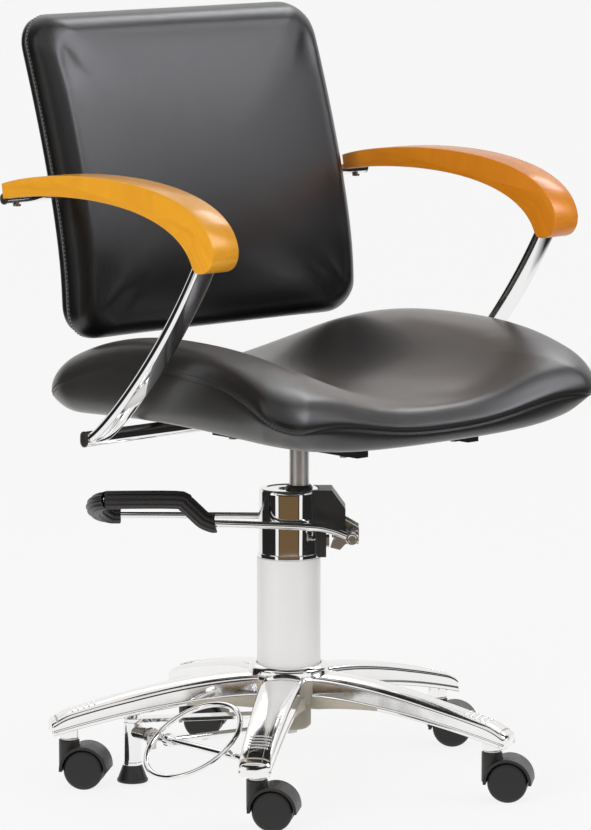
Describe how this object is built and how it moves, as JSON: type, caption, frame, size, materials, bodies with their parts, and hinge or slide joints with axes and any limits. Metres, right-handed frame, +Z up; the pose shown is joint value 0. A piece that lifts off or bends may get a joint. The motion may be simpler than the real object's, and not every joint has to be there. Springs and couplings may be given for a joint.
{
  "type": "hairdressing chair",
  "caption": "Hairdressing chair with padded seat and back, wooden armrests, hydraulic column with foot pump, foot brake and star base on castors.",
  "frame": {"origin": "on the floor, below the middle of the chair's bounding box", "axes": "+Z up; the chair faces -Y; +X is on the right of someone who faces the chair"},
  "size_m": [0.6368, 0.6129, 0.963],
  "materials": {
    "polished_aluminium": "polished",
    "chrome": "mirror",
    "satin_chrome": "satin",
    "steel": "plated",
    "black_steel": "semi-gloss",
    "black_plastic": "moulded",
    "castor_plastic": "moulded",
    "tread": "semi-gloss",
    "black_rubber": "matt",
    "bronze": "plain",
    "wood": "lacquered",
    "plywood": "raw",
    "leatherette": "fine grain",
    "leatherette_rear": "fine grain"
  },
  "bodies": {
    "base": {"star_base": "polished_aluminium", "castor_stems": "steel", "hub_collar": "chrome", "column_tube": "satin_chrome", "oil_cylinder": "steel", "centre_bolt": "steel", "pump_head": "chrome", "head_bead": "chrome", "rod_bush": "bronze", "rod_seal": "black_rubber", "pump_housing": "black_plastic", "lever_bracket": "steel", "lever_pin": "steel", "housing_bolts": "steel", "brake_bar": "chrome", "brake_sleeve": "chrome", "brake_stay": "chrome"},
    "piston": {"piston_rod": "steel", "piston_ring": "black_rubber"},
    "seat": {"seat_frame": "black_steel", "swivel_socket": "black_steel", "frame_left": "chrome", "frame_right": "chrome", "seat_spacers": "steel", "seat_board": "plywood", "seat_cushion": "leatherette", "back_tube": "chrome", "end_caps": "black_plastic", "back_board": "leatherette_rear", "back_cushion": "leatherette", "back_screws": "steel", "armrest_left": "wood", "armrest_right": "wood", "armrest_screws": "steel"},
    "lever": {"pump_lever": "chrome", "lever_pad": "black_rubber", "lever_link": "steel"},
    "plunger": {"pump_plunger": "steel"},
    "pedal": {"brake_pedal": "chrome", "brake_cam": "steel"},
    "foot": {"brake_spindle": "chrome", "brake_foot": "black_rubber", "brake_nut": "steel"},
    "castor_1": {"castor_1_hood": "castor_plastic", "castor_1_axle": "steel"},
    "wheels_1": {"castor_1_wheels": "tread"},
    "castor_2": {"castor_2_hood": "castor_plastic", "castor_2_axle": "steel"},
    "wheels_2": {"castor_2_wheels": "tread"},
    "castor_3": {"castor_3_hood": "castor_plastic", "castor_3_axle": "steel"},
    "wheels_3": {"castor_3_wheels": "tread"},
    "castor_4": {"castor_4_hood": "castor_plastic", "castor_4_axle": "steel"},
    "wheels_4": {"castor_4_wheels": "tread"},
    "castor_5": {"castor_5_hood": "castor_plastic", "castor_5_axle": "steel"},
    "wheels_5": {"castor_5_wheels": "tread"}
  },
  "joints": [
    {"name": "column_lift", "type": "slide", "parent": "base", "child": "piston", "axis": [0, 0, 1], "range_m": [-0.03, 0.1]},
    {"name": "seat_swivel", "type": "hinge", "parent": "piston", "child": "seat", "pos_m": [-0.0035, -0.0065, 0.43], "axis": [0, 0, 1], "continuous": true},
    {"name": "lever_hinge", "type": "hinge", "parent": "base", "child": "lever", "pos_m": [0.05246, -0.04318, 0.315], "axis": [-0.6794, -0.7337, 0], "range_deg": [0, 14], "stiffness_Nm_per_rad": 40, "springref_deg": -6.88},
    {"name": "plunger_slide", "type": "slide", "parent": "base", "child": "plunger", "axis": [0, 0, 1], "range_m": [-0.0055, 0]},
    {"name": "pedal_hinge", "type": "hinge", "parent": "base", "child": "pedal", "pos_m": [-0.1739, 0.1184, 0.068], "axis": [-0.0349, -0.9994, 0], "range_deg": [-38, 0]},
    {"name": "foot_slide", "type": "slide", "parent": "base", "child": "foot", "axis": [0, 0, 1], "range_m": [-0.003, 0]},
    {"name": "castor_1_swivel", "type": "hinge", "parent": "base", "child": "castor_1", "pos_m": [-0.24125, 0.16156, 0.05], "axis": [0, 0, 1], "continuous": true},
    {"name": "wheels_1_spin", "type": "hinge", "parent": "castor_1", "child": "wheels_1", "pos_m": [-0.22804, 0.14524, 0.025], "axis": [-0.7771, -0.6293, 0], "continuous": true},
    {"name": "castor_2_swivel", "type": "hinge", "parent": "base", "child": "castor_2", "pos_m": [-0.22202, -0.16704, 0.05], "axis": [0, 0, 1], "continuous": true},
    {"name": "wheels_2_spin", "type": "hinge", "parent": "castor_2", "child": "wheels_2", "pos_m": [-0.2088, -0.18336, 0.025], "axis": [-0.7771, -0.6293, 0], "continuous": true},
    {"name": "castor_3_swivel", "type": "hinge", "parent": "base", "child": "castor_3", "pos_m": [0.09644, -0.25028, 0.05], "axis": [0, 0, 1], "continuous": true},
    {"name": "wheels_3_spin", "type": "hinge", "parent": "castor_3", "child": "wheels_3", "pos_m": [0.10965, -0.2666, 0.025], "axis": [-0.7771, -0.6293, 0], "continuous": true},
    {"name": "castor_4_swivel", "type": "hinge", "parent": "base", "child": "castor_4", "pos_m": [0.27402, 0.02686, 0.05], "axis": [0, 0, 1], "continuous": true},
    {"name": "wheels_4_spin", "type": "hinge", "parent": "castor_4", "child": "wheels_4", "pos_m": [0.28724, 0.01054, 0.025], "axis": [-0.7771, -0.6293, 0], "continuous": true},
    {"name": "castor_5_swivel", "type": "hinge", "parent": "base", "child": "castor_5", "pos_m": [0.06532, 0.2814, 0.05], "axis": [0, 0, 1], "continuous": true},
    {"name": "wheels_5_spin", "type": "hinge", "parent": "castor_5", "child": "wheels_5", "pos_m": [0.07853, 0.26508, 0.025], "axis": [-0.7771, -0.6293, 0], "continuous": true}
  ],
  "couplings": [
    {"joint": "plunger_slide", "follows": "lever_hinge", "m_per_rad": -0.021},
    {"joint": "foot_slide", "follows": "pedal_hinge", "m_per_rad": 0.0044}
  ]
}
